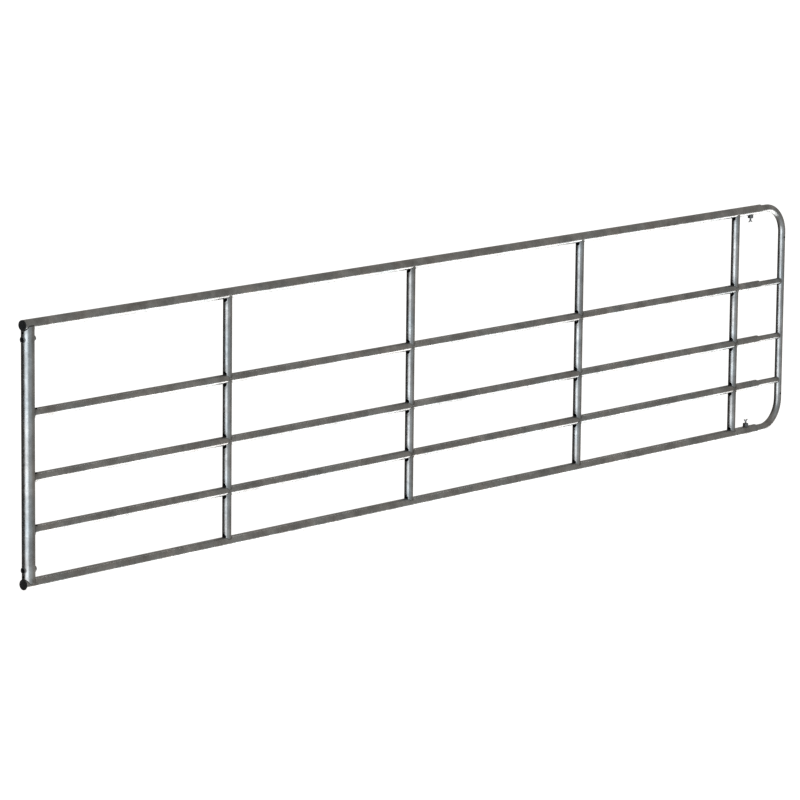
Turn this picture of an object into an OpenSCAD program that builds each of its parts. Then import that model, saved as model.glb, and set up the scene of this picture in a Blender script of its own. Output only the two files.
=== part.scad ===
// Extendable tubular field gate, shown closed up.
// +X runs from the hinge stile to the latch end, +Z is up and the gate is symmetric about Y = 0.
// The origin is the middle of the lower hinge bush, on the axis of the stile.

/* [Frame] */
// Height between the centrelines of the bottom and top rails
frame_h = 1150; // [1000:10:1250]
// Centreline of the lower mid rail above the bottom rail
lower_mid_h = 237; // [180:1:280]
// Centreline of the centre mid rail above the bottom rail
centre_mid_h = 470; // [400:1:560]
// Centreline of the upper mid rail above the bottom rail
upper_mid_h = 757; // [680:1:880]
// Spacing of the upright stays along the gate
stay_pitch = 1250; // [1100:10:1300]
// Length of the five rails from the axis of the stile to their open ends
rail_reach = 5200; // [5150:10:5600]

/* [Tubes] */
// Outside diameter of the top and bottom rails
outer_rail_d = 48.3; // [48:0.1:50]
// Outside diameter of the mid rails
mid_rail_d = 42.4; // [42:0.1:44]
// Outside diameter of the stays
stay_d = 42.4; // [40:0.1:42.4]
// Outside diameter of the hinge stile
stile_d = 60.3; // [56:0.1:70]
// Wall of the rails and stays
rail_wall = 2; // [1.5:0.1:2.9]
// Wall of the hinge stile
stile_wall = 2.5; // [2:0.1:4]
// Diameter of the galvanising vents at the ends of the stays and mid rails
vent_d = 26; // [8:1:28]
// Diameter of the galvanising vents at the ends of the stile
stile_vent_d = 12; // [6:1:16]

/* [Extension] */
// Outside diameter of the bent bow
bow_d = 38; // [34:0.1:41]
// Outside diameter of the inner mid rails
inner_rail_d = 31.8; // [28:0.1:35]
// Wall of the bow and the inner mid rails
inner_wall = 2; // [1.5:0.1:3]
// Axis of the bow's upright from the axis of the stile, with the gate closed up
bow_x = 5390; // [5380:1:5800]
// Centreline radius of the bow's two bends
bow_bend_r = 140; // [100:1:155]
// Travel of the extension out of the rails
travel = 1000; // [500:10:1500]
// Length that stays inside the rails at full travel
overlap = 450; // [300:10:600]
// Diameter of the fixing holes in the bow's upright
bow_hole_d = 12; // [8:0.5:16]
// Distance of each fixing hole from the centreline of the nearest outer rail
bow_hole_inset = 164; // [164:1:300]

/* [Hinge bushes] */
// Outside diameter of a hinge bush
bush_d = 29.5; // [27:0.1:32]
// Bore of a hinge bush
bush_bore = 20.5; // [16:0.1:22]
// Distance of each bush from the centreline of the nearest outer rail
bush_inset = 63.5; // [60:0.5:120]
// How far a bush stands out on the hinge side
bush_out_hinge = 4.5; // [1:0.5:10]
// How far a bush stands out on the latch side
bush_out_latch = 7; // [2:0.5:20]

/* [Clamps] */
// Axis of the clamp screws from the axis of the stile
clamp_x = 5122; // [5100:1:5140]
// Thread diameter of a clamp screw
screw_d = 10; // [8:1:14]
// Width of a clamp nut across its flats
nut_af = 27; // [20:0.5:28]
// Height of a clamp nut above the rail's surface
nut_h = 15; // [10:0.5:18]
// Length of thread in view between the nut and the wings, with the screw tight
thread_in_view = 12; // [6:0.5:20]
// Span of the wings over their tips
wing_span = 34; // [30:1:50]
// Height of the butterfly head, from its foot to the wing tips
wing_h = 11; // [9:0.5:20]

/* [Hidden] */
$fn = 96;
// Tiny overshoot that makes cuts run clean through
eps = 1;
// Radial clearance of a screw in its nut, and in the rail's wall below the nut
thread_gap = 0.05;
wall_hole_gap = 0.5;
// Gap between a screw's tip and the tube it clamps
tip_gap = 0.4;
// How far short of a rail's centreline a coped tube ends
cope_short = 4;
// Distance of a vent's far edge from the tube that its own tube is welded to, on uprights and on mid rails
vent_reach = 15;
mid_vent_reach = 20;
// Height of the lower end of the whole frame, so that the lower bush sits at the origin
bottom_z = -bush_inset;
top_z = bottom_z + frame_h;
rail_z = [bottom_z, bottom_z + lower_mid_h, bottom_z + centre_mid_h, bottom_z + upper_mid_h, top_z];
rail_d = [outer_rail_d, mid_rail_d, mid_rail_d, mid_rail_d, outer_rail_d];
stay_count = 4;
bay_count = len(rail_z) - 1;
// The outer rails end flush with the stile on the hinge side
rail_end_x = -stile_d / 2;
// Inner ends of the sliding tubes with the gate closed up
inner_end_x = rail_reach - travel - overlap;
// End plugs
plug_flange = 4;
plug_stem = 28;
plug_stem_gap = 0.2;
plug_wall = 2.5;
plug_edge = 1.5;
// Clamp screw: its tip sits just off the tube inside the rail
screw_tip = bow_d / 2 + tip_gap;
nut_base = outer_rail_d / 2;
nut_top = nut_base + nut_h;
// Angle from the middle of a hexagon's flat to its corner
hex_half = 30;
screw_chamfer = 2;
// Butterfly head
hub_base = nut_top + thread_in_view;
wing_hub_d = 13;
wing_hub_h = 6;
wing_t = 3.5;
wing_tip_d = 8;
wing_lean = 35;
wing_root = 1;

mid_rail_names = ["lower_mid_rail", "centre_mid_rail", "upper_mid_rail"];
inner_rail_names = ["lower_inner_rail", "centre_inner_rail", "upper_inner_rail"];
stay_names = [for (s = [1:stay_count], b = [1:bay_count]) stay_name(s, b)];

// Stays are numbered from the hinge end, and their pieces from the bottom up
function stay_name(stay, bay) = str("stay_", stay, "_piece_", bay);

// A solid bar along +X from x0 to x1
module bar_x(d, x0, x1) {
    translate([x0, 0, 0])
        rotate([0, 90, 0])
            cylinder(d = d, h = x1 - x0);
}

// A hollow tube along +X from x0 to x1
module tube_x(d, wall, x0, x1) {
    difference() {
        bar_x(d, x0, x1);
        bar_x(d - 2 * wall, x0 - eps, x1 + eps);
    }
}

// A hollow tube along +Z from z0 to z1
module tube_z(d, wall, z0, z1) {
    difference() {
        translate([0, 0, z0])
            cylinder(d = d, h = z1 - z0);
        translate([0, 0, z0 - eps])
            cylinder(d = d - 2 * wall, h = z1 - z0 + 2 * eps);
    }
}

// The cutter for a vent in the hinge side of an upright tube, above or below a rail
module upright_vent(d, reach, rail_d, rail_z, side) {
    translate([0, 0, rail_z + side * (rail_d / 2 + vent_reach - d / 2)])
        bar_x(d, -reach, 0);
}

// Places a child, made pointing down from the top rail, at the top clamp
module at_top_clamp() {
    translate([clamp_x, 0, top_z])
        mirror([0, 0, 1])
            children();
}

module at_bottom_clamp() {
    translate([clamp_x, 0, bottom_z])
        children();
}

// The stile runs from outer rail to outer rail, coped to fit them and bored for the two bushes
module hinge_stile() {
    color("silver")
    difference() {
        tube_z(stile_d, stile_wall, bottom_z + cope_short, top_z - cope_short);
        for (z = [bottom_z, top_z])
            translate([0, 0, z])
                bar_x(outer_rail_d, -stile_d, stile_d);
        for (z = [bottom_z + bush_inset, top_z - bush_inset])
            translate([0, 0, z])
                bar_x(bush_d, -stile_d, stile_d);
        upright_vent(stile_vent_d, stile_d, outer_rail_d, bottom_z, 1);
        upright_vent(stile_vent_d, stile_d, outer_rail_d, top_z, -1);
    }
}

// An outer rail at z = 0 with the clamp's clearance hole on its +Z side
module outer_rail() {
    color("gray")
    difference() {
        tube_x(outer_rail_d, rail_wall, rail_end_x, rail_reach);
        translate([clamp_x, 0, 0])
            cylinder(d = screw_d + 2 * wall_hole_gap, h = outer_rail_d);
    }
}

module top_rail() {
    translate([0, 0, top_z])
        mirror([0, 0, 1])
            outer_rail();
}

module bottom_rail() {
    translate([0, 0, bottom_z])
        outer_rail();
}

// A mid rail, coped onto the stile at its hinge end, with a vent on top of it there, and open at the other
module mid_rail(z) {
    color("gray")
    difference() {
        translate([0, 0, z])
            tube_x(mid_rail_d, rail_wall, 0, rail_reach);
        translate([0, 0, z - mid_rail_d])
            cylinder(d = stile_d, h = 2 * mid_rail_d);
        translate([stile_d / 2 + mid_vent_reach - vent_d / 2, 0, z])
            cylinder(d = vent_d, h = mid_rail_d);
    }
}

// One short length of stay, coped at both ends onto the rails below and above it
module stay_piece(stay, bay) {
    z0 = rail_z[bay - 1];
    z1 = rail_z[bay];
    color("silver")
    translate([stay * stay_pitch, 0, 0])
        difference() {
            tube_z(stay_d, rail_wall, z0 + cope_short, z1 - cope_short);
            translate([0, 0, z0])
                bar_x(rail_d[bay - 1], -stay_d, stay_d);
            translate([0, 0, z1])
                bar_x(rail_d[bay], -stay_d, stay_d);
            upright_vent(vent_d, stay_d, rail_d[bay - 1], z0, 1);
            upright_vent(vent_d, stay_d, rail_d[bay], z1, -1);
        }
}

// A bush through the stile, bored for the hinge bolt
module hinge_bush(z) {
    color("dimgray")
    translate([0, 0, z])
        tube_x(bush_d, (bush_d - bush_bore) / 2, -stile_d / 2 - bush_out_hinge, stile_d / 2 + bush_out_latch);
}

// A moulded plug: a flange with a rounded edge over the tube's end and a hollow stem inside it
module rail_plug(z) {
    stem_d = outer_rail_d - 2 * rail_wall - 2 * plug_stem_gap;
    color("black")
    translate([rail_end_x, 0, z])
        rotate([0, 90, 0])
            rotate_extrude()
                difference() {
                    union() {
                        translate([0, -plug_flange])
                            square([outer_rail_d / 2 - plug_edge, plug_flange]);
                        translate([0, plug_edge - plug_flange])
                            square([outer_rail_d / 2, plug_flange - plug_edge]);
                        translate([outer_rail_d / 2 - plug_edge, plug_edge - plug_flange])
                            intersection() {
                                circle(r = plug_edge);
                                translate([0, -plug_edge])
                                    square(plug_edge);
                            }
                        square([stem_d / 2, plug_stem]);
                    }
                    translate([0, plug_wall])
                        square([stem_d / 2 - plug_wall, plug_stem]);
                }
}

// The bow's outline as one solid of a given diameter: two legs, two bends and the upright
module bow_solid(d, extra) {
    bend_x = bow_x - bow_bend_r;
    for (side = [0, 1])
        translate([0, 0, side ? top_z : bottom_z])
            mirror([0, 0, side]) {
                bar_x(d, inner_end_x - extra, bend_x);
                translate([bend_x, 0, bow_bend_r])
                    rotate([90, 0, 0])
                        rotate([0, 0, -90])
                            rotate_extrude(angle = 90)
                                translate([bow_bend_r, 0])
                                    circle(d = d);
            }
    translate([bow_x, 0, bottom_z + bow_bend_r])
        cylinder(d = d, h = frame_h - 2 * bow_bend_r);
}

module extension_bow() {
    color("silver")
    difference() {
        bow_solid(bow_d, 0);
        bow_solid(bow_d - 2 * inner_wall, eps);
        for (z = [bottom_z + bow_hole_inset, top_z - bow_hole_inset])
            translate([bow_x, bow_d, z])
                rotate([90, 0, 0])
                    cylinder(d = bow_hole_d, h = 2 * bow_d);
    }
}

// An inner rail that slides in a mid rail, coped onto the bow's upright
module inner_rail(z) {
    color("gray")
    difference() {
        translate([0, 0, z])
            tube_x(inner_rail_d, inner_wall, inner_end_x, bow_x);
        translate([bow_x, 0, z - inner_rail_d])
            cylinder(d = bow_d, h = 2 * inner_rail_d);
    }
}

// A hexagonal weld nut with two flats across the rail, its foot shaped to the rail it sits on
module clamp_nut() {
    color("dimgray")
    difference() {
        rotate([0, 0, hex_half])
            cylinder(d = nut_af / cos(hex_half), h = nut_top, $fn = 6);
        bar_x(outer_rail_d, -nut_af, nut_af);
        cylinder(d = screw_d + 2 * thread_gap, h = nut_top + eps);
    }
}

// The shank of a clamp screw, with a short point
module clamp_screw() {
    color("silver")
    rotate_extrude()
        polygon([
            [0, screw_tip],
            [screw_d / 2 - screw_chamfer, screw_tip],
            [screw_d / 2, screw_tip + screw_chamfer],
            [screw_d / 2, hub_base],
            [0, hub_base]
        ]);
}

// One wing: a plate that leans outwards from the hub to a round tip
module wing() {
    tip_x = (wing_span - wing_tip_d) / 2;
    tip_z = wing_h - wing_tip_d / 2;
    side_x = wing_tip_d / 2 * sin(wing_lean);
    side_z = wing_tip_d / 2 * cos(wing_lean);
    translate([0, 0, hub_base])
        rotate([90, 0, 0])
            linear_extrude(height = wing_t, center = true)
                union() {
                    translate([tip_x, tip_z])
                        circle(d = wing_tip_d);
                    polygon([
                        [0, wing_root],
                        [wing_hub_d / 2 - wing_root, wing_root],
                        [tip_x + side_x, tip_z - side_z],
                        [tip_x - side_x, tip_z + side_z],
                        [0, wing_hub_h - wing_root]
                    ]);
                }
}

// The butterfly head: a hub on the end of the shank with two wings in the plane of the gate
module clamp_wings() {
    color("silver")
    union() {
        translate([0, 0, hub_base])
            cylinder(d = wing_hub_d, h = wing_hub_h);
        wing();
        mirror([1, 0, 0])
            wing();
    }
}

hinge_stile();
top_rail();
bottom_rail();
for (i = [0:2])
    mid_rail(rail_z[i + 1]);
for (s = [1:stay_count], b = [1:bay_count])
    stay_piece(s, b);
hinge_bush(top_z - bush_inset);  // upper_hinge_bush
hinge_bush(bottom_z + bush_inset);  // lower_hinge_bush
rail_plug(top_z);  // top_rail_plug
rail_plug(bottom_z);  // bottom_rail_plug
extension_bow();
for (i = [0:2])
    inner_rail(rail_z[i + 1]);
at_top_clamp() clamp_nut();  // top_clamp_nut
at_bottom_clamp() clamp_nut();  // bottom_clamp_nut
at_top_clamp() clamp_screw();  // top_clamp_screw
at_bottom_clamp() clamp_screw();  // bottom_clamp_screw
at_top_clamp() clamp_wings();  // top_clamp_wings
at_bottom_clamp() clamp_wings();  // bottom_clamp_wings
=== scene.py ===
"""Extendable galvanised field gate: meshes, materials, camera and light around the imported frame."""
import math

import bmesh
import bpy
import numpy as np
from mathutils import Matrix, Vector


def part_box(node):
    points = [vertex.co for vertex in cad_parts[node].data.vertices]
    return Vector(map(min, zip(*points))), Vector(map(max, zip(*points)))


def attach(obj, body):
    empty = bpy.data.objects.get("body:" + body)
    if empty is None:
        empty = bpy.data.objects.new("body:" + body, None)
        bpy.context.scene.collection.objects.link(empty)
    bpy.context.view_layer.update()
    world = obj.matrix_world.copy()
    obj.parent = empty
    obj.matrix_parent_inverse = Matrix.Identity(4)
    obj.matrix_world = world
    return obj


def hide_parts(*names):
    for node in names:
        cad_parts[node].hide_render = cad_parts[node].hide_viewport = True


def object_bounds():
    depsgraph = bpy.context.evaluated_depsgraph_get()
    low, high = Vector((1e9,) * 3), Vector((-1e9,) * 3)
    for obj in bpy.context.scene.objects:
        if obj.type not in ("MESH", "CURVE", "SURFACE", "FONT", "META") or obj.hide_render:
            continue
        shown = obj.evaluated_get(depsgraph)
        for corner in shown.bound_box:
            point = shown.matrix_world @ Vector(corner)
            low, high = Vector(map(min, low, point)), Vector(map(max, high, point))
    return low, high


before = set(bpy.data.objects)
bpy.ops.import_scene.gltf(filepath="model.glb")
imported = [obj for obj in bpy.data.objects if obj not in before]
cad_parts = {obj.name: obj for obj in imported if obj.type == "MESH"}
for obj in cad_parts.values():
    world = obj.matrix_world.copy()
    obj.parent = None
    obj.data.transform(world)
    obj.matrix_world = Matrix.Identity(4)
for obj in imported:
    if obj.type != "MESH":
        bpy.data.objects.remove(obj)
cad_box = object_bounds()

MM = 0.001
RAIL_WALL = 2.0 * MM
STILE_WALL = 2.5 * MM
INNER_WALL = 2.0 * MM
# How far short of a rail's centreline the CAD's coped tubes end
COPE_SHORT = 4.0 * MM
RIM_CHAMFER = 0.5 * MM
# Galvanising vents: their radii, and how far they reach from the tube that their own tube is welded to
VENT_RADIUS = 13.0 * MM
STILE_VENT_RADIUS = 6.0 * MM
VENT_REACH = 15.0 * MM
MID_VENT_REACH = 20.0 * MM
VENT_SIDES = 48
BUSH_BORE = 10.25 * MM
# Where the vents are round their tubes: towards the hinge on uprights, on top of the mid rails
HINGE_SIDE = math.pi
TOP_SIDE = 0.0
TUBE_SIDES = 72
# How far past a wall a cutter runs
OVERRUN = 10.0 * MM

STAYS = range(1, 5)
BAYS = range(1, 5)
MID_RAILS = ["lower_mid_rail", "centre_mid_rail", "upper_mid_rail"]
INNER_RAILS = ["lower_inner_rail", "centre_inner_rail", "upper_inner_rail"]


# ---------------------------------------------------------------- mesh tools


def grid(points, wrap_rows=True):
    """Vertices and quads of a rows x columns x 3 array of points whose columns always wrap round."""
    rows, columns = points.shape[:2]
    index = np.arange(rows * columns).reshape(rows, columns)
    below = np.roll(index, -1, axis=0) if wrap_rows else index[1:]
    here = index if wrap_rows else index[:-1]
    quads = np.stack([here, np.roll(here, -1, 1), np.roll(below, -1, 1), below], axis=-1)
    return points.reshape(-1, 3), quads.reshape(-1, 4)


def new_object(name, parts, sharp_deg=35.0):
    """One object from (vertices, quads) or (vertices, quads, darkening) parts, with outward normals.

    Edges are sharp by angle. A part's darkening goes into a point attribute that the zinc material reads:
    weld burn, and painted shade where the tubes meet and inside them.
    """
    bm = bmesh.new()
    layer = bm.verts.layers.float.new("burn_and_shade")
    for vertices, quads, *burn_and_shade in parts:
        made = [bm.verts.new(v) for v in vertices]
        if burn_and_shade:
            for vertex, value in zip(made, burn_and_shade[0]):
                vertex[layer] = value
        for quad in quads:
            bm.faces.new([made[i] for i in quad])
    bmesh.ops.remove_doubles(bm, verts=bm.verts, dist=1e-6)
    bmesh.ops.dissolve_degenerate(bm, edges=bm.edges, dist=1e-7)
    bmesh.ops.recalc_face_normals(bm, faces=bm.faces)
    mesh = bpy.data.meshes.new(name)
    bm.to_mesh(mesh)
    bm.free()
    mesh.shade_smooth()
    mesh.set_sharp_from_angle(angle=math.radians(sharp_deg))
    obj = bpy.data.objects.new(name, mesh)
    bpy.context.scene.collection.objects.link(obj)
    return obj


def apply_modifiers(obj, sharp_deg=35.0):
    """Turns the modifiers into plain mesh."""
    graph = bpy.context.evaluated_depsgraph_get()
    mesh = bpy.data.meshes.new_from_object(obj.evaluated_get(graph))
    obj.modifiers.clear()
    obj.data = mesh
    bm = bmesh.new()
    bm.from_mesh(mesh)
    bmesh.ops.remove_doubles(bm, verts=bm.verts, dist=1e-5)
    bmesh.ops.dissolve_degenerate(bm, edges=bm.edges, dist=1e-5)
    bm.to_mesh(mesh)
    bm.free()
    mesh.shade_smooth()
    mesh.set_sharp_from_angle(angle=math.radians(sharp_deg))


def combine(obj, others, operation, sharp_deg=35.0):
    """Cuts the other objects out of obj, or joins them to it, and removes them."""
    for other in others:
        boolean = obj.modifiers.new("boolean", "BOOLEAN")
        boolean.operation = operation
        boolean.solver = "EXACT"
        boolean.object = other
    apply_modifiers(obj, sharp_deg)
    for other in others:
        bpy.data.objects.remove(other)


def dress(obj, material, body, slot, *nodes):
    """Gives a piece its material and the body it rides on, and hides the CAD nodes it stands for. slot is not
    used.
    """
    obj.data.materials.clear()
    obj.data.materials.append(material)
    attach(obj, body)
    if nodes:
        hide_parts(*nodes)


# ---------------------------------------------------------------- tubes


class Tube:
    """A straight round tube read from its CAD node. Axis 0 runs along X and axis 2 along Z."""

    def __init__(self, node, axis):
        low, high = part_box(node)
        self.node = node
        self.axis = axis
        self.across = 2 - axis
        self.centre = (low + high) / 2
        self.radius = (high[self.across] - low[self.across]) / 2
        self.low, self.high = low[axis], high[axis]

    def points(self, along, radius, angle):
        """Points at the given places along the axis, radii and angles round it, as one row."""
        row = np.empty((len(angle), 3))
        row[:, self.axis] = along
        row[:, self.across] = self.centre[self.across] + radius * np.cos(angle)
        row[:, 1] = radius * np.sin(angle)
        return row


def flat_end(place):
    """A square-cut end at one place along a tube."""
    return lambda y: np.full_like(y, place)


def coped_end(tube, partner, side, short=0.0):
    """An end cut to sit on a partner that crosses the tube: it lies on the given side of the partner."""
    centre = partner.centre[tube.axis]

    def end(y):
        reach = np.sqrt(np.maximum(partner.radius**2 - y**2, 0.0))
        return centre + side * np.maximum(reach, short)

    return end


def around(count):
    return np.linspace(0.0, 2 * math.pi, count, endpoint=False)


# Distance from a welded end, and how much the zinc is darkened there, by weld burn and by painted shade where
# the tubes meet
BURN_AND_SHADE_RINGS = [(8.0 * MM, 1.0), (17.0 * MM, 0.72), (28.0 * MM, 0.32), (46.0 * MM, 0.0)]
# How much more the zinc is darkened on one side of each welded end: painted shade
VENT_SIDE_SHADE = 2.5
# Inside the tubes the zinc is darkened all over: painted shade in the bores
BORE_SHADE = 1.5
# The stile's weld beads are darkened all over: painted shadow along the seams where it meets the rails
STILE_SEAM_SHADE = 1.3
# Rings of points on either side of a hole are this far from its edge
RING_GAP = 4 * MM


def tube_part(tube, wall, start, end, end_burn_and_shade=(0.0, 0.0), shaded_side=None, rings=()):
    """A hollow tube: along its outside, over one rim, back along the bore and over the other rim.

    The end weights give how strongly the zinc is darkened at the start and at the end, by weld burn and by
    painted shade where the tubes meet, and the side angle gives the side where painted shade darkens it more.
    rings are places along the tube where its outside gets an extra ring of points, to keep the shading clean
    round a hole that is cut later.
    """
    outside, bore, bevel = tube.radius, tube.radius - wall, RIM_CHAMFER
    angle = around(TUBE_SIDES)
    first, last = end_burn_and_shade
    profile = [(start, bevel, outside, first)]
    profile += [(start, distance, outside, first * burn_and_shade) for distance, burn_and_shade in BURN_AND_SHADE_RINGS if first]
    profile += [(flat_end(place), 0.0, outside, 0.0) for place in rings]
    profile += [(end, -distance, outside, last * burn_and_shade) for distance, burn_and_shade in reversed(BURN_AND_SHADE_RINGS) if last]
    profile += [
        (end, -bevel, outside, last),
        (end, 0.0, outside - bevel, last),
        (end, 0.0, bore + bevel, BORE_SHADE),
        (end, -bevel, bore, BORE_SHADE),
        (start, bevel, bore, BORE_SHADE),
        (start, 0.0, bore + bevel, BORE_SHADE),
        (start, 0.0, outside - bevel, first),
    ]
    rows = [tube.points(place(r * np.sin(angle)) + inset, r, angle) for place, inset, r, _ in profile]
    burn_and_shade = np.array([row[3] for row in profile])[:, None] * np.ones(TUBE_SIDES)
    # Painted shade: darker still on the given side
    if shaded_side is not None:
        burn_and_shade *= 1.0 + VENT_SIDE_SHADE * np.maximum(np.cos(angle - shaded_side), 0.0) ** 3
    return (*grid(np.array(rows)), burn_and_shade.ravel())


def solid_bar(name, tube, radius, start, end):
    """A plain closed bar on a tube's axis, used to cut holes."""
    angle = around(TUBE_SIDES)
    rows = [tube.points(start, 0.0, angle), tube.points(start, radius, angle)]
    rows += [tube.points(end, radius, angle), tube.points(end, 0.0, angle)]
    return new_object(name, [grid(np.array(rows), wrap_rows=False)])


# ---------------------------------------------------------------- weld beads

BEAD_RIPPLE = 3.6 * MM
BEAD_STEPS_PER_RIPPLE = 6
BEAD_SIDES = 10
# Half the width of each weld
STILE_BEAD = 2.6 * MM
MID_RAIL_BEAD = 3.0 * MM
STAY_BEAD = 2.6 * MM
BUSH_BEAD = 2.4 * MM
INNER_RAIL_BEAD = 2.5 * MM
NUT_BEAD = 2.2 * MM
# Angle between a vent's edge and the end of the weld beside it
VENT_MARGIN = 0.06


def bead_part(tube, end, radius, size, seed, vent=None):
    """A rippled fillet of weld round a tube's fitted end. radius gives the foot's radius at each angle.

    A weld that meets a vent stops short of it on both sides. vent is the vent's angle round the tube and half
    the gap that it makes, also as an angle.
    """
    random = np.random.RandomState(seed)
    ripples = max(12, round(2 * math.pi * tube.radius / BEAD_RIPPLE))
    angle = around(ripples * BEAD_STEPS_PER_RIPPLE)
    if vent:
        middle, half = vent
        angle = middle + half + angle * (1.0 - half / math.pi)
    foot = radius(angle)
    path = tube.points(end(foot * np.sin(angle)), foot, angle)
    outward = tube.points(0.0, 1.0, angle) - tube.points(0.0, 0.0, angle)
    if vent:
        tangent = np.gradient(path, axis=0)
    else:
        tangent = np.roll(path, -1, axis=0) - np.roll(path, 1, axis=0)
    tangent /= np.linalg.norm(tangent, axis=1)[:, None]
    sideways = np.cross(tangent, outward)
    sideways /= np.linalg.norm(sideways, axis=1)[:, None]
    outward = np.cross(sideways, tangent)
    # Each ripple swells and falls, and no two are quite alike
    swell = 0.10 * np.abs(np.sin(ripples * angle / 2))
    wander = 0.10 * np.repeat(random.rand(ripples) - 0.5, BEAD_STEPS_PER_RIPPLE)
    width = size * (0.93 + swell + np.convolve(np.r_[wander, wander[:5]], np.ones(6) / 6, "valid"))
    if vent:
        from_end = np.minimum(np.arange(len(angle)), np.arange(len(angle))[::-1]) / BEAD_STEPS_PER_RIPPLE
        width = width * np.sqrt(1.0 - (1.0 - np.minimum(from_end, 1.0)) ** 2)
    turn = around(BEAD_SIDES)
    ring = outward[:, None, :] * np.cos(turn)[None, :, None]
    ring = ring + sideways[:, None, :] * np.sin(turn)[None, :, None]
    return grid(path[:, None, :] + ring * width[:, None, None], wrap_rows=not vent)


def round_foot(radius):
    return lambda angle: np.full_like(angle, radius)


def vent_gap(tube, side, reach):
    """Where a weld round a tube's end stops for the vent beside it."""
    off_centre = reach - VENT_RADIUS
    half_width = math.sqrt(VENT_RADIUS**2 - off_centre**2)
    return side, math.asin(half_width / tube.radius) + VENT_MARGIN


def cut_upright_vents(obj, tube, radius, under, over):
    """Cuts the two vents of an upright that stands on one rail and reaches up to another."""
    angle = around(VENT_SIDES)
    inside, outside = tube.centre.x, tube.centre.x - tube.radius - OVERRUN
    cutters = []
    for rail, side in ((under, 1), (over, -1)):
        z = rail.centre.z + side * (rail.radius + VENT_REACH - radius)
        rows = []
        for x, r in ((outside, 0.0), (outside, radius), (inside, radius), (inside, 0.0)):
            rows.append(np.stack([np.full(VENT_SIDES, x), r * np.cos(angle), z + r * np.sin(angle)], axis=-1))
        cutters.append(new_object("cutter", [grid(np.array(rows), wrap_rows=False)]))
    combine(obj, cutters, "DIFFERENCE")


# ---------------------------------------------------------------- materials


class Nodes:
    """Short forms for building a node tree."""

    def __init__(self, tree):
        self.tree = tree

    def add(self, kind, inputs=(), **settings):
        node = self.tree.nodes.new("ShaderNode" + kind)
        for key, value in settings.items():
            setattr(node, key, value)
        for key, value in dict(inputs).items():
            if isinstance(value, bpy.types.NodeSocket):
                self.tree.links.new(value, node.inputs[key])
            else:
                node.inputs[key].default_value = value
        return node

    def remap(self, value, low, high, from_low=0.0, from_high=1.0, smooth=False):
        kind = "SMOOTHSTEP" if smooth else "LINEAR"
        inputs = {0: value, 1: from_low, 2: from_high, 3: low, 4: high}
        return self.add("MapRange", inputs, interpolation_type=kind).outputs[0]

    def multiply(self, a, b):
        return self.add("Math", {0: a, 1: b}, operation="MULTIPLY").outputs[0]

    def plus(self, a, b):
        return self.add("Math", {0: a, 1: b}, operation="ADD").outputs[0]

    def tint(self, colour, factor):
        """A colour times a changing brightness."""
        return self.add("VectorMath", {0: colour, 1: factor}, operation="MULTIPLY").outputs[0]


def new_material(name):
    material = bpy.data.materials.new(name)
    material.use_nodes = True
    material.node_tree.nodes.clear()
    nodes = Nodes(material.node_tree)
    output = nodes.add("OutputMaterial")
    shader = nodes.add("BsdfPrincipled")
    material.node_tree.links.new(shader.outputs[0], output.inputs[0])
    return material, nodes, shader


def noise(nodes, vector, per_metre, detail=3.0, roughness=0.5):
    inputs = {"Vector": vector, "Scale": per_metre, "Detail": detail, "Roughness": roughness}
    return nodes.add("TexNoise", inputs).outputs[0]


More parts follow.
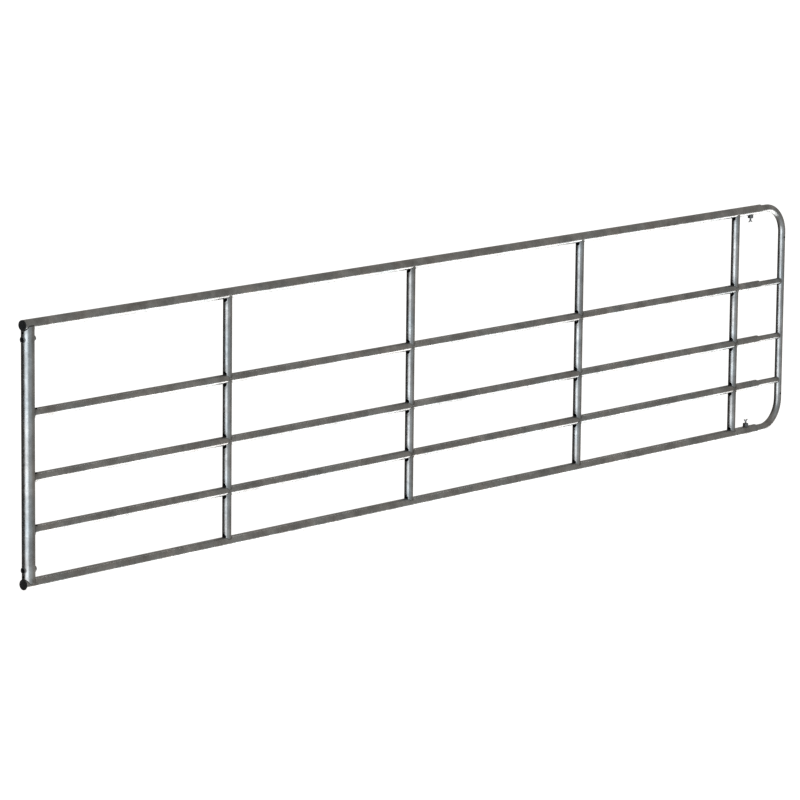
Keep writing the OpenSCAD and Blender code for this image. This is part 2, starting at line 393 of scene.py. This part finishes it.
def galvanised(name, colour, spangle=0.013, roughness=0.34, contrast=1.0, lumps=0.12):
    """Hot-dip zinc: feathery spangle crystals, cloudy patina, faint runs and a slightly lumpy skin."""
    material, nodes, shader = new_material(name)
    link = material.node_tree.links.new
    place = nodes.add("TexCoord").outputs["Object"]
    # Crystal cells with ragged borders
    ragged = nodes.add("TexNoise", {"Vector": place, "Scale": 2.2 / spangle, "Detail": 2.0})
    shift = nodes.tint(ragged.outputs["Color"], (spangle * 0.55,) * 3)
    bent = nodes.add("VectorMath", {0: place, 1: shift}, operation="ADD").outputs[0]
    cells = nodes.add("TexVoronoi", {"Vector": bent, "Scale": 1.0 / spangle})
    shade = nodes.add("SeparateColor", {0: cells.outputs["Color"]})
    fine = nodes.add("TexVoronoi", {"Vector": bent, "Scale": 3.1 / spangle})
    fine_shade = nodes.add("SeparateColor", {0: fine.outputs["Color"]})
    cloud = noise(nodes, place, 5.5, detail=5.0, roughness=0.6)
    # Runs of zinc that ran downwards as the gate left the bath
    drawn = nodes.add("Mapping", {"Vector": place, "Scale": (70.0, 70.0, 5.0)}).outputs[0]
    runs = noise(nodes, drawn, 1.0, detail=2.0)
    grain = noise(nodes, place, 900.0, detail=2.0)
    bright = nodes.remap(shade.outputs[0], 1.0 - 0.08 * contrast, 1.0 + 0.08 * contrast)
    fine_bright = nodes.remap(fine_shade.outputs[1], 1.0 - 0.04 * contrast, 1.0 + 0.04 * contrast)
    bright = nodes.multiply(bright, fine_bright)
    bright = nodes.multiply(bright, nodes.remap(cloud, 0.80, 1.20, 0.3, 0.7))
    bright = nodes.multiply(bright, nodes.remap(runs, 0.95, 1.05, 0.3, 0.7))
    # Duller and brighter patches a few centimetres across
    patches = noise(nodes, bent, 13.0, detail=2.0)
    bright = nodes.multiply(bright, nodes.remap(patches, 0.86, 1.14, 0.32, 0.68, smooth=True))
    # The point attribute darkens and roughens the zinc: weld burn near welded ends, and painted shade where
    # the tubes meet, inside the bores and on one side of each end
    burn_and_shade = nodes.add("Attribute", attribute_name="burn_and_shade").outputs["Fac"]
    ragged_burn_and_shade = nodes.multiply(burn_and_shade, nodes.remap(cloud, 0.75, 1.15, 0.3, 0.7))
    bright = nodes.multiply(bright, nodes.remap(ragged_burn_and_shade, 1.0, 0.36))
    # Slow drifts between a faintly brown and a faintly green grey
    drifting = nodes.add("Mapping", {"Vector": place, "Location": (3.1, 1.7, 0.4)}).outputs[0]
    drift = noise(nodes, drifting, 6.0, detail=2.0)
    red = nodes.remap(drift, 0.965, 1.035, 0.35, 0.65)
    blue = nodes.remap(drift, 1.02, 0.98, 0.35, 0.65)
    red, blue = nodes.multiply(bright, red), nodes.multiply(bright, blue)
    tinge = nodes.add("CombineXYZ", {0: red, 1: bright, 2: blue}).outputs[0]
    link(nodes.tint(colour, tinge), shader.inputs["Base Color"])
    rough = nodes.remap(shade.outputs[1], roughness - 0.05 * contrast, roughness + 0.07 * contrast)
    rough = nodes.plus(rough, nodes.multiply(ragged_burn_and_shade, 0.10))
    rough = nodes.plus(rough, nodes.remap(cloud, 0.05, -0.03, 0.3, 0.7))
    rough = nodes.plus(rough, nodes.remap(grain, -0.02, 0.02))
    link(rough, shader.inputs["Roughness"])
    shader.inputs["Metallic"].default_value = 0.92
    # Lumps of a few centimetres, the crystals' relief and a fine grain
    swell = noise(nodes, place, 26.0, detail=2.0)
    height = nodes.plus(nodes.multiply(swell, 1.0), nodes.multiply(cells.outputs["Distance"], 0.22))
    height = nodes.plus(height, nodes.multiply(runs, 0.12))
    height = nodes.plus(height, nodes.multiply(grain, 0.03))
    bump = nodes.add("Bump", {"Height": height, "Strength": lumps, "Distance": 0.004})
    link(bump.outputs[0], shader.inputs["Normal"])
    return material


def plated(name, colour):
    """Bright electroplated zinc: fine grain, darker in the hollows and rubbed on the edges."""
    material, nodes, shader = new_material(name)
    link = material.node_tree.links.new
    place = nodes.add("TexCoord").outputs["Object"]
    cast = noise(nodes, place, 420.0, detail=4.0, roughness=0.6)
    smut = noise(nodes, place, 90.0, detail=3.0)
    point = nodes.add("NewGeometry").outputs["Pointiness"]
    bright = nodes.multiply(nodes.remap(smut, 0.80, 1.10, 0.3, 0.7), nodes.remap(cast, 0.95, 1.05))
    bright = nodes.multiply(bright, nodes.remap(point, 0.78, 1.15, 0.46, 0.54))
    link(nodes.tint(colour, bright), shader.inputs["Base Color"])
    link(nodes.remap(smut, 0.44, 0.30, 0.3, 0.7), shader.inputs["Roughness"])
    shader.inputs["Metallic"].default_value = 0.95
    bump = nodes.add("Bump", {"Height": cast, "Strength": 0.25, "Distance": 0.0006})
    link(bump.outputs[0], shader.inputs["Normal"])
    return material


def moulded_plastic(name, colour):
    """Black polyethylene: fine eggshell grain, dusty in patches, with a soft sheen."""
    material, nodes, shader = new_material(name)
    link = material.node_tree.links.new
    place = nodes.add("TexCoord").outputs["Object"]
    grain = noise(nodes, place, 1500.0, detail=2.0)
    dust = noise(nodes, place, 120.0, detail=4.0, roughness=0.65)
    bright = nodes.multiply(nodes.remap(dust, 0.75, 1.7, 0.35, 0.75), nodes.remap(grain, 0.9, 1.1))
    link(nodes.tint(colour, bright), shader.inputs["Base Color"])
    link(nodes.remap(dust, 0.42, 0.60, 0.35, 0.75), shader.inputs["Roughness"])
    bump = nodes.add("Bump", {"Height": grain, "Strength": 0.2, "Distance": 0.0004})
    link(bump.outputs[0], shader.inputs["Normal"])
    return material


TUBE_ZINC = galvanised("galvanised_tube", (0.50, 0.505, 0.50), roughness=0.27)
WELD_ZINC = galvanised("galvanised_weld", (0.24, 0.235, 0.22), spangle=0.006, roughness=0.44, lumps=0.4)
FITTING_ZINC = galvanised("galvanised_fitting", (0.25, 0.255, 0.26), spangle=0.007, lumps=0.25)
BUSH_ZINC = galvanised("galvanised_bush", (0.45, 0.46, 0.47), spangle=0.007, roughness=0.36, lumps=0.2)
PLATED = plated("zinc_plated", (0.46, 0.47, 0.48))
BLACK = moulded_plastic("black_plastic", (0.018, 0.018, 0.019))


# ---------------------------------------------------------------- hinge stile, rails and stays

stile = Tube("hinge_stile", 2)
top_rail = Tube("top_rail", 0)
bottom_rail = Tube("bottom_rail", 0)
mid_rails = [Tube(name, 0) for name in MID_RAILS]
rails = [bottom_rail, *mid_rails, top_rail]
bushes = [Tube(name, 0) for name in ("lower_hinge_bush", "upper_hinge_bush")]


def build_stile():
    """The stile, coped onto both outer rails and drilled for the two bushes, with its welds."""
    lower = coped_end(stile, bottom_rail, 1, COPE_SHORT)
    upper = coped_end(stile, top_rail, -1, COPE_SHORT)
    lower_bush, upper_bush = bushes
    # Beyond the rings of weld burn and painted shade, so only on the far side of each bush
    above_lower = lower_bush.centre.z + lower_bush.radius + RING_GAP
    below_upper = upper_bush.centre.z - upper_bush.radius - RING_GAP
    rings = (above_lower, below_upper)
    obj = new_object("stile", [tube_part(stile, STILE_WALL, lower, upper, (0.25, 0.25), rings=rings)])
    cutters = [solid_bar("cutter", b, b.radius, b.low - OVERRUN, b.high + OVERRUN) for b in bushes]
    combine(obj, cutters, "DIFFERENCE")
    cut_upright_vents(obj, stile, STILE_VENT_RADIUS, bottom_rail, top_rail)
    dress(obj, TUBE_ZINC, "frame", "galvanised_tube", stile.node)

    def foot(a):
        """The weld sinks in where the stile is widest, so that it doesn't stand out past it."""
        return stile.radius - (0.4 + 2.6 * np.sin(a) ** 2) * MM

    # Painted shadow along the seams: the stile's weld beads are darkened all over
    beads = []
    for seed, end in ((1, lower), (2, upper)):
        vertices, quads = bead_part(stile, end, foot, STILE_BEAD, seed)
        beads.append((vertices, quads, np.full(len(vertices), STILE_SEAM_SHADE)))
    dress(new_object("stile_welds", beads), WELD_ZINC, "frame", "galvanised_tube")


def build_rails():
    """The two outer rails run over the stile's ends; the mid rails are welded to its side."""
    for rail in (bottom_rail, top_rail):
        part = tube_part(rail, RAIL_WALL, flat_end(rail.low), flat_end(rail.high))
        dress(new_object(rail.node + "_tube", [part]), TUBE_ZINC, "frame", "galvanised_tube", rail.node)
    beads = []
    for seed, rail in enumerate(mid_rails):
        start = coped_end(rail, stile, 1)
        part = tube_part(rail, RAIL_WALL, start, flat_end(rail.high), (0.3, 0.0), TOP_SIDE)
        obj = new_object(rail.node + "_tube", [part])
        vent = (stile.radius + MID_VENT_REACH - VENT_RADIUS, 0.0, rail.centre.z + rail.radius)
        bpy.ops.mesh.primitive_cylinder_add(
            vertices=VENT_SIDES, radius=VENT_RADIUS, depth=rail.radius, location=vent
        )
        combine(obj, [bpy.context.object], "DIFFERENCE")
        dress(obj, TUBE_ZINC, "frame", "galvanised_tube", rail.node)
        foot, gap = round_foot(rail.radius), vent_gap(rail, TOP_SIDE, MID_VENT_REACH)
        beads.append(bead_part(rail, start, foot, MID_RAIL_BEAD, 10 + seed, gap))
    dress(new_object("mid_rail_welds", beads), WELD_ZINC, "frame", "galvanised_tube")


def build_stays():
    """Each stay is four short tubes, coped onto the rail below and the rail above, all welded round."""
    for stay in STAYS:
        beads = []
        for bay in BAYS:
            name = f"stay_{stay}_piece_{bay}"
            piece = Tube(name, 2)
            lower = coped_end(piece, rails[bay - 1], 1, COPE_SHORT)
            upper = coped_end(piece, rails[bay], -1, COPE_SHORT)
            part = tube_part(piece, RAIL_WALL, lower, upper, (0.3, 0.3), HINGE_SIDE)
            obj = new_object(name + "_tube", [part])
            cut_upright_vents(obj, piece, VENT_RADIUS, rails[bay - 1], rails[bay])
            dress(obj, TUBE_ZINC, "frame", "galvanised_tube", name)
            foot, gap = round_foot(piece.radius), vent_gap(piece, HINGE_SIDE, VENT_REACH)
            for side, end in enumerate((lower, upper)):
                beads.append(bead_part(piece, end, foot, STAY_BEAD, 100 * stay + 10 * bay + side, gap))
        dress(new_object(f"stay_{stay}_welds", beads), WELD_ZINC, "frame", "galvanised_tube")


def build_bushes():
    """The hinge bushes, each with a weld to the stile on its latch side."""
    for seed, bush in enumerate(bushes):
        part = tube_part(bush, bush.radius - BUSH_BORE, flat_end(bush.low), flat_end(bush.high))
        dress(new_object(bush.node + "_tube", [part]), BUSH_ZINC, "frame", "galvanised_tube", bush.node)
        end = coped_end(bush, stile, 1)
        bead = bead_part(bush, end, round_foot(bush.radius), BUSH_BEAD, 20 + seed)
        dress(new_object(bush.node + "_weld", [bead]), WELD_ZINC, "frame", "galvanised_tube")


PLUG_GAP = 0.3 * MM
PLUG_EDGE = 1.6 * MM
PLUG_WALL = 2.5 * MM
PLUG_DISH = 0.6 * MM
PLUG_RIBS = (5 * MM, 11 * MM, 17 * MM, 23 * MM)
PLUG_RIB_HEIGHT = 0.2 * MM


def build_plugs():
    """Push-in end plugs: a flange with a soft edge and a shallow dish, and a ribbed hollow stem."""
    angle = around(TUBE_SIDES)
    for rail in (bottom_rail, top_rail):
        node = rail.node + "_plug"
        low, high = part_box(node)
        face, tip, mouth = low.x, high.x, rail.low
        flange, stem = rail.radius, rail.radius - RAIL_WALL - PLUG_GAP
        bore = stem - PLUG_WALL
        turns = [math.radians(a) for a in (90, 70, 50, 30, 10, 0)]
        dish = [(face + PLUG_DISH, 0.0), (face + PLUG_DISH, 11 * MM)]
        dish += [(face + 0.2 * MM, 15 * MM), (face, 17.5 * MM)]
        rim = [(face + PLUG_EDGE * (1 - math.sin(a)), flange - PLUG_EDGE * (1 - math.cos(a))) for a in turns]
        ribs = []
        for rib in PLUG_RIBS:
            x = mouth + rib
            ribs += [(x, stem), (x + 1 * MM, stem + PLUG_RIB_HEIGHT), (x + 3 * MM, stem)]
        point = [(tip - 1 * MM, stem), (tip, stem - 1 * MM), (tip, bore), (mouth, bore), (mouth, 0.0)]
        outline = dish + rim + [(mouth, flange), (mouth, stem)] + ribs + point
        rows = np.array([rail.points(along, radius, angle) for along, radius in outline])
        obj = new_object(node + "_moulding", [grid(rows, wrap_rows=False)])
        dress(obj, BLACK, "frame", "black_plastic", node)


# ---------------------------------------------------------------- extension

bow_low, bow_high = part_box("extension_bow")
# Rounded to the drawing's own figure, because the box comes from the tube's facets
bow_radius = round(bow_high.y, 4)
bow_x = bow_high.x - bow_radius
bow_bend = 0.140
HOLE_RADIUS = 6.0 * MM
HOLE_INSET = 0.164
BEND_STEPS = 28


def bow_path():
    """Centre line points of the bow and the outward direction in its plane at each of them."""
    top, bottom = bow_high.z - bow_radius, bow_low.z + bow_radius
    bend_x = bow_x - bow_bend
    points, outward = [(bow_low.x, 0.0, top)], [(0.0, 0.0, 1.0)]
    for corner, first in ((top - bow_bend, 90.0), (bottom + bow_bend, 0.0)):
        for step in range(BEND_STEPS + 1):
            a = math.radians(first - 90.0 * step / BEND_STEPS)
            direction = (math.cos(a), 0.0, math.sin(a))
            outward.append(direction)
            points.append((bend_x + bow_bend * direction[0], 0.0, corner + bow_bend * direction[2]))
        if first:
            # Rings on the upright on either side of each hole keep the shading clean there
            beside = HOLE_INSET + HOLE_RADIUS + RING_GAP
            for z in (top - beside, bottom + beside):
                outward.append((1.0, 0.0, 0.0))
                points.append((bow_x, 0.0, z))
    points.append((bow_low.x, 0.0, bottom))
    outward.append((0.0, 0.0, -1.0))
    return np.array(points), np.array(outward)


def build_bow():
    """The bent bow as one hollow tube, drilled through twice from front to back."""
    path, outward = bow_path()
    angle = around(TUBE_SIDES)
    across = np.array([0.0, 1.0, 0.0])
    tangent = np.cross(outward, across)

    def ring(i, radius, inset=0.0):
        centre = path[i] + tangent[i] * inset
        return centre + radius * (np.cos(angle)[:, None] * outward[i] + np.sin(angle)[:, None] * across)

    bore, bevel, last = bow_radius - INNER_WALL, RIM_CHAMFER, len(path) - 1
    inward = 1.0 if tangent[0] @ (path[1] - path[0]) > 0 else -1.0
    rows = [ring(0, bow_radius, inward * bevel)]
    rows += [ring(i, bow_radius) for i in range(1, last)]
    rows += [ring(last, bow_radius, -inward * bevel), ring(last, bow_radius - bevel)]
    rows += [ring(last, bore + bevel), ring(last, bore, -inward * bevel)]
    rows += [ring(i, bore) for i in range(last - 1, 0, -1)]
    rows += [ring(0, bore, inward * bevel), ring(0, bore + bevel), ring(0, bow_radius - bevel)]
    obj = new_object("bow_tube", [grid(np.array(rows))])
    cutters = []
    for z in (bow_low.z + bow_radius + HOLE_INSET, bow_high.z - bow_radius - HOLE_INSET):
        place, turn = (bow_x, 0.0, z), (math.pi / 2, 0.0, 0.0)
        bpy.ops.mesh.primitive_cylinder_add(
            vertices=32, radius=HOLE_RADIUS, depth=0.1, location=place, rotation=turn
        )
        cutters.append(bpy.context.object)
    combine(obj, cutters, "DIFFERENCE")
    dress(obj, TUBE_ZINC, "extension", "galvanised_tube", "extension_bow")


def build_inner_rails():
    """The inner rails, coped and welded onto the bow's upright."""
    beads = []
    for seed, name in enumerate(INNER_RAILS):
        rail = Tube(name, 0)

        def end(y):
            return bow_x - np.sqrt(np.maximum(bow_radius**2 - y**2, 0.0))

        part = tube_part(rail, INNER_WALL, flat_end(rail.low), end, (0.0, 0.6))
        dress(new_object(name + "_tube", [part]), TUBE_ZINC, "extension", "galvanised_tube", name)
        beads.append(bead_part(rail, end, round_foot(rail.radius), INNER_RAIL_BEAD, 30 + seed))
    dress(new_object("inner_rail_welds", beads), WELD_ZINC, "extension", "galvanised_tube")


# ---------------------------------------------------------------- clamps

NUT_FLATS = 27.0 * MM
NUT_CHAMFER_DEG = 30.0
NUT_CORNER = 1.6 * MM
NUT_STEPS = 120
SCREW_RADIUS = 5.0 * MM
SCREW_PITCH = 1.5 * MM
THREAD_DEPTH = 0.85 * MM


class Clamp:
    """A clamp's own frame: up is the way the screw points out of its rail."""

    def __init__(self, name, rail, up):
        nut = Tube(name + "_clamp_nut", 2)
        self.name = name
        self.rail = rail
        self.x = nut.centre.x
        # A half turn about X, and not a mirror, keeps the upper screw's thread right-handed
        turn = Matrix.Identity(4) if up > 0 else Matrix.Rotation(math.pi, 4, "X")
        self.matrix = Matrix.Translation((self.x, 0.0, rail.centre.z)) @ turn

    def height(self, node, top):
        """How far the top or the bottom of a node is from the rail's axis."""
        low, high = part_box(node)
        ends = sorted(abs(z - self.rail.centre.z) for z in (low.z, high.z))
        return ends[1] if top else ends[0]

    def place(self, obj):
        obj.data.transform(self.matrix)


def lathe_rows(outline, angle):
    """Rows of points turned about Z, from functions or numbers for the radius and height."""
    rows = []
    for radius, height in outline:
        r = np.broadcast_to(radius, angle.shape)
        z = np.broadcast_to(height, angle.shape)
        rows.append(np.stack([r * np.cos(angle), r * np.sin(angle), z], axis=-1))
    return np.array(rows)


def hexagon_radius(angle, half):
    """Radius of a hexagon with flats at 0 and 60 degrees and rounded corners."""
    sixth = math.pi / 6
    from_flat = np.mod(angle + sixth, 2 * sixth) - sixth
    from_corner = sixth - np.abs(from_flat)
    # Each corner is an arc about a centre on the line to the sharp corner
    centre = (half - NUT_CORNER) / math.cos(sixth)
    beside = centre * np.sin(from_corner)
    arc = centre * np.cos(from_corner) + np.sqrt(NUT_CORNER**2 - np.minimum(beside, NUT_CORNER) ** 2)
    return np.where(beside < NUT_CORNER * math.sin(sixth), arc, half / np.cos(from_flat))


def build_nut(clamp):
    """A hexagonal weld nut: chamfered crown, countersunk bore, foot shaped to the rail, and its weld."""
    node = clamp.name + "_clamp_nut"
    angle = around(NUT_STEPS)
    half = NUT_FLATS / 2
    hexagon = hexagon_radius(angle, half)
    crown = clamp.height(node, top=True)
    bore = SCREW_RADIUS + 0.1 * MM
    shoulder = crown - (hexagon - half + 0.4 * MM) * math.tan(math.radians(NUT_CHAMFER_DEG))

    def saddle(radius):
        return np.sqrt(clamp.rail.radius**2 - (radius * np.sin(angle)) ** 2)

    outline = [
        (hexagon, saddle(hexagon)),
        (hexagon, shoulder),
        (half - 0.4 * MM, crown),
        (bore + 0.9 * MM, crown),
        (bore, crown - 0.9 * MM),
        (bore, saddle(bore)),
    ]
    obj = new_object(clamp.name + "_nut_hex", [grid(lathe_rows(outline, angle))], sharp_deg=25.0)
    clamp.place(obj)
    dress(obj, FITTING_ZINC, "frame", "galvanised_fitting", node)
    bead_tube = Tube(node, 2)
    up = 1.0 if clamp.matrix[2][2] > 0 else -1.0
    foot = coped_end(bead_tube, clamp.rail, up)

    def hexagon_foot(a):
        return hexagon_radius(a, half - 0.3 * MM)

    bead = bead_part(bead_tube, foot, hexagon_foot, NUT_BEAD, 40 if up > 0 else 41)
    dress(new_object(clamp.name + "_nut_weld", [bead]), WELD_ZINC, "frame", "galvanised_fitting")


def build_screw(clamp):
    """The threaded shank, with a plain point and a real helical thread."""
    node = clamp.name + "_clamp_screw"
    angle = around(36)
    tip, head = clamp.height(node, top=False), clamp.height(node, top=True)
    major = SCREW_RADIUS - 0.02 * MM
    steps = int((head - tip) / (SCREW_PITCH / 8))
    rows = [(0.0, tip), (major - 2.4 * MM, tip)]
    for height in np.linspace(tip + 0.5 * MM, head, steps):
        phase = np.mod((height - tip) / SCREW_PITCH - angle / (2 * math.pi), 1.0)
        groove = np.clip(np.abs(phase - 0.5) * 2.6 - 0.25, 0.0, 1.0)
        point = max(0.0, tip + 2.4 * MM - height)
        rows.append((major - THREAD_DEPTH * (1 - groove) - point, height))
    rows.append((0.0, head))
    part = grid(lathe_rows(rows, angle), wrap_rows=False)
    obj = new_object(clamp.name + "_screw_thread", [part], sharp_deg=60.0)
    clamp.place(obj)
    dress(obj, PLATED, clamp.name + "_screw", "zinc_plated", node)


def wing_part(side, root, foot, tip, lean_deg):
    """One wing of the casting: a rounded blade from the hub out to a broad round ear."""
    lean = math.radians(lean_deg)
    across = np.array([-side * math.sin(lean), 0.0, math.cos(lean)])
    turn = around(28)
    rows = []
    for t in np.linspace(0.0, 1.0, 24):
        x = side * (root + (tip[0] - root) * t**0.9)
        z = foot + (tip[1] - foot) * t**1.1
        taper = math.sqrt(max(0.0, 1.0 - max(0.0, (t - 0.66) / 0.34) ** 2.2))
        width = (2.5 + 1.7 * math.sin(math.pi * min(t / 0.8, 1.0) / 2) ** 2) * MM * taper
        thick = (2.1 - 0.5 * t) * MM * max(taper, 0.02) ** 0.6
        ring = np.outer(np.cos(turn), across) * width + np.outer(np.sin(turn), (0.0, 1.0, 0.0)) * thick
        rows.append(np.array([x, 0.0, z]) + ring)
    first, last = (np.repeat(row.mean(0)[None], len(turn), 0) for row in (rows[0], rows[-1]))
    return grid(np.array([first, *rows, last]), wrap_rows=False)


def build_wings(clamp):
    """The cast butterfly head: hub and two wings run together with soft fillets."""
    node = clamp.name + "_clamp_wings"
    low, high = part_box(node)
    base, top = clamp.height(node, top=False), clamp.height(node, top=True)
    span = (high.x - low.x) / 2
    hub_top = base + 6.0 * MM
    angle = around(64)
    hub = [(0.0, base), (5.9 * MM, base), (6.4 * MM, base + 0.6 * MM), (5.7 * MM, hub_top - 1.2 * MM)]
    hub += [(4.9 * MM, hub_top - 0.3 * MM), (3.2 * MM, hub_top), (0.0, hub_top)]
    obj = new_object(clamp.name + "_wing_casting", [grid(lathe_rows(hub, angle), wrap_rows=False)])
    wings = []
    for side in (-1, 1):
        part = wing_part(side, 2.0 * MM, base + 3.0 * MM, (span - 1.4 * MM, top - 2.6 * MM), 40.0)
        wings.append(new_object("wing", [part]))
    combine(obj, wings, "UNION")
    remesh = obj.modifiers.new("remesh", "REMESH")
    remesh.mode = "VOXEL"
    remesh.voxel_size = 0.4 * MM
    soften = obj.modifiers.new("soften", "SMOOTH")
    soften.factor = 0.5
    soften.iterations = 4
    apply_modifiers(obj, sharp_deg=80.0)
    clamp.place(obj)
    dress(obj, PLATED, clamp.name + "_wings", "zinc_plated", node)


# ---------------------------------------------------------------- stage, light and camera


def build_floor():
    """A wide pale floor just under the gate. The gate's reflections come from the studio, not from it."""
    gap, half_size = 0.25, 400.0
    z = cad_box[0].z - gap
    corners = np.array([[(-1, -1), (1, -1)], [(-1, 1), (1, 1)]]) * half_size
    mesh = bpy.data.meshes.new("floor")
    points = [(x, y, z) for x, y in corners.reshape(-1, 2)]
    mesh.from_pydata(points, [], [(0, 1, 3, 2)])
    floor = bpy.data.objects.new("floor", mesh)
    bpy.context.scene.collection.objects.link(floor)
    material, nodes, shader = new_material("pale_floor")
    shader.inputs["Base Color"].default_value = (0.9, 0.9, 0.9, 1.0)
    shader.inputs["Roughness"].default_value = 1.0
    shader.inputs["Specular IOR Level"].default_value = 0.0
    shader.inputs["Emission Color"].default_value = (1.0, 1.0, 1.0, 1.0)
    shader.inputs["Emission Strength"].default_value = 0.88
    mesh.materials.append(material)
    floor.visible_glossy = False
    floor.visible_diffuse = False


def build_studio():
    """Soft light from all round: a grey room, a glow from below, a tall soft box past the hinge end."""
    world = bpy.data.worlds.new("studio")
    bpy.context.scene.world = world
    world.use_nodes = True
    tree = world.node_tree
    tree.nodes.clear()
    nodes = Nodes(tree)
    direction = nodes.add("TexCoord").outputs["Generated"]

    def lobe(towards, near_deg, far_deg):
        """1 within near_deg of a direction, falling smoothly to 0 at far_deg."""
        unit = Vector(towards).normalized()
        facing = nodes.add("VectorMath", {0: direction, 1: unit}, operation="DOT_PRODUCT").outputs["Value"]
        near, far = math.cos(math.radians(near_deg)), math.cos(math.radians(far_deg))
        return nodes.remap(facing, 0.0, 1.0, far, near, smooth=True)

    def glow(total, weight, colour):
        lit = nodes.tint(colour, weight)
        return nodes.add("VectorMath", {0: total, 1: lit}, operation="ADD").outputs[0]

    shade = nodes.remap(lobe((-0.45, 0.89, 0.0), 32.0, 62.0), 1.0, 0.16)
    room = nodes.tint((0.262, 0.248, 0.230), shade)
    room = glow(room, lobe((0.55, 0.0, -0.83), 24.0, 33.0), (3.2, 3.2, 3.2))
    room = glow(room, lobe((-0.94, -0.34, -0.12), 8.0, 39.0), (1.38, 1.48, 1.58))
    room = glow(room, lobe((-0.45, -0.89, -0.10), 5.0, 72.0), (0.20, 0.25, 0.29))
    unlit = nodes.add("Background", {"Color": (1.0, 1.0, 1.0, 1.0), "Strength": 1.0})
    lit = nodes.add("Background", {"Color": room, "Strength": 1.0})
    seen = nodes.add("LightPath").outputs["Is Camera Ray"]
    mix = nodes.add("MixShader", {0: seen, 1: lit.outputs[0], 2: unlit.outputs[0]})
    output = nodes.add("OutputWorld", {0: mix.outputs[0]})
    output.is_active_output = True


def build_camera():
    """A long lens from the front, beyond the hinge end and a little above."""
    azimuth, elevation, roll = (math.radians(a) for a in (48.2913, 10.2913, 0.6110))
    aim = Vector((2.4312, 0.0, 0.4427))
    distance = 22.291
    level_part = math.cos(elevation)
    forward = Vector((math.sin(azimuth) * level_part, math.cos(azimuth) * level_part, -math.sin(elevation)))
    level = Vector((math.cos(azimuth), -math.sin(azimuth), 0.0))
    upright = level.cross(forward)
    right = math.cos(roll) * level + math.sin(roll) * upright
    up = math.cos(roll) * upright - math.sin(roll) * level
    data = bpy.data.cameras.new("camera")
    data.sensor_width = 36.0
    data.lens = 211.64
    data.clip_start = 1.0
    data.clip_end = 2000.0
    camera = bpy.data.objects.new("camera", data)
    turn = Matrix((right, up, -forward)).transposed()
    camera.matrix_world = Matrix.Translation(aim - forward * distance) @ turn.to_4x4()
    bpy.context.scene.collection.objects.link(camera)
    bpy.context.scene.camera = camera


build_camera()
build_studio()
build_floor()
bpy.context.scene.view_settings.view_transform = "Standard"

build_stile()
build_rails()
build_stays()
build_bushes()
build_plugs()
build_bow()
build_inner_rails()
for clamp in (Clamp("bottom", bottom_rail, 1), Clamp("top", top_rail, -1)):
    build_nut(clamp)
    build_screw(clamp)
    build_wings(clamp)
